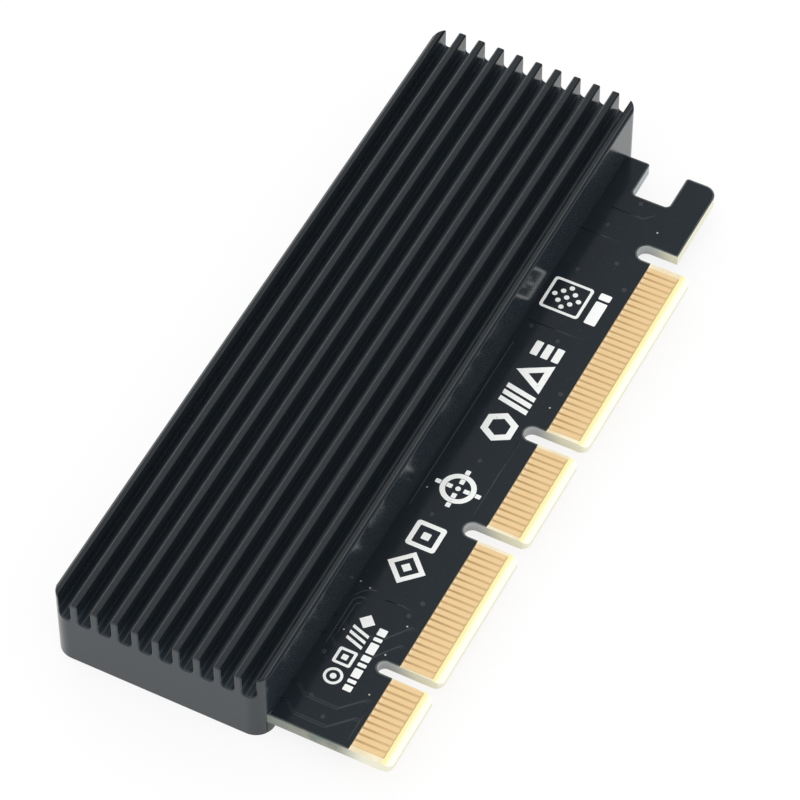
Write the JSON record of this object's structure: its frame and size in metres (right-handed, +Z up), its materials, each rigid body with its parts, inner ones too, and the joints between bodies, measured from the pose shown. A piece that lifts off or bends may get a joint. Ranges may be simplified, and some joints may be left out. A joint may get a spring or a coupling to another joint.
{
  "type": "nvme adapter card",
  "caption": "Expansion card that holds a storage module: finned black aluminium shell over a circuit board with a gold contact edge, notches and a retention hook.",
  "frame": {"origin": "middle of the card's footprint, on the flat underside of the shell and cover", "axes": "+X along the card towards the retention hook, +Y from the contact edge to the back of the shell, +Z up through the fins"},
  "size_m": [0.1054, 0.0462, 0.0114],
  "materials": {
    "anodised_aluminium": "black anodised over fine bead blast",
    "cover_aluminium": "black anodised over fine bead blast",
    "black_laminate": "black solder mask over glass fibre laminate",
    "gold_contacts": "hard gold plating",
    "gold_plating": "immersion gold",
    "socket_plastic": "moulded high temperature nylon",
    "spring_contacts": "gold flashed copper alloy",
    "tinned_tabs": "matt tin",
    "turned_brass": "turned, bright",
    "black_screws": "black zinc",
    "steel_screw": "nickel plated",
    "thermal_silicone": "soft filled silicone sheet",
    "capacitor_ceramic": "fired ceramic",
    "resistor_ceramic": "glazed ceramic"
  },
  "bodies": {
    "root": {"finned_shell": "anodised_aluminium", "bottom_cover": "cover_aluminium", "circuit_board": "black_laminate", "edge_contacts_top": "gold_contacts", "edge_contacts_bottom": "gold_contacts", "module_socket": "socket_plastic", "socket_contacts_upper": "spring_contacts", "socket_contacts_lower": "spring_contacts", "socket_hold_downs": "tinned_tabs", "module_standoff": "turned_brass", "module_screw": "steel_screw", "cover_screws": "black_screws", "module_hole_plating": "gold_plating", "thermal_pad_upper": "thermal_silicone", "thermal_pad_lower": "thermal_silicone", "coupling_capacitors": "capacitor_ceramic", "strap_resistors": "resistor_ceramic", "bulk_capacitors": "capacitor_ceramic", "decoupling_capacitors": "capacitor_ceramic"}
  },
  "joints": []
}
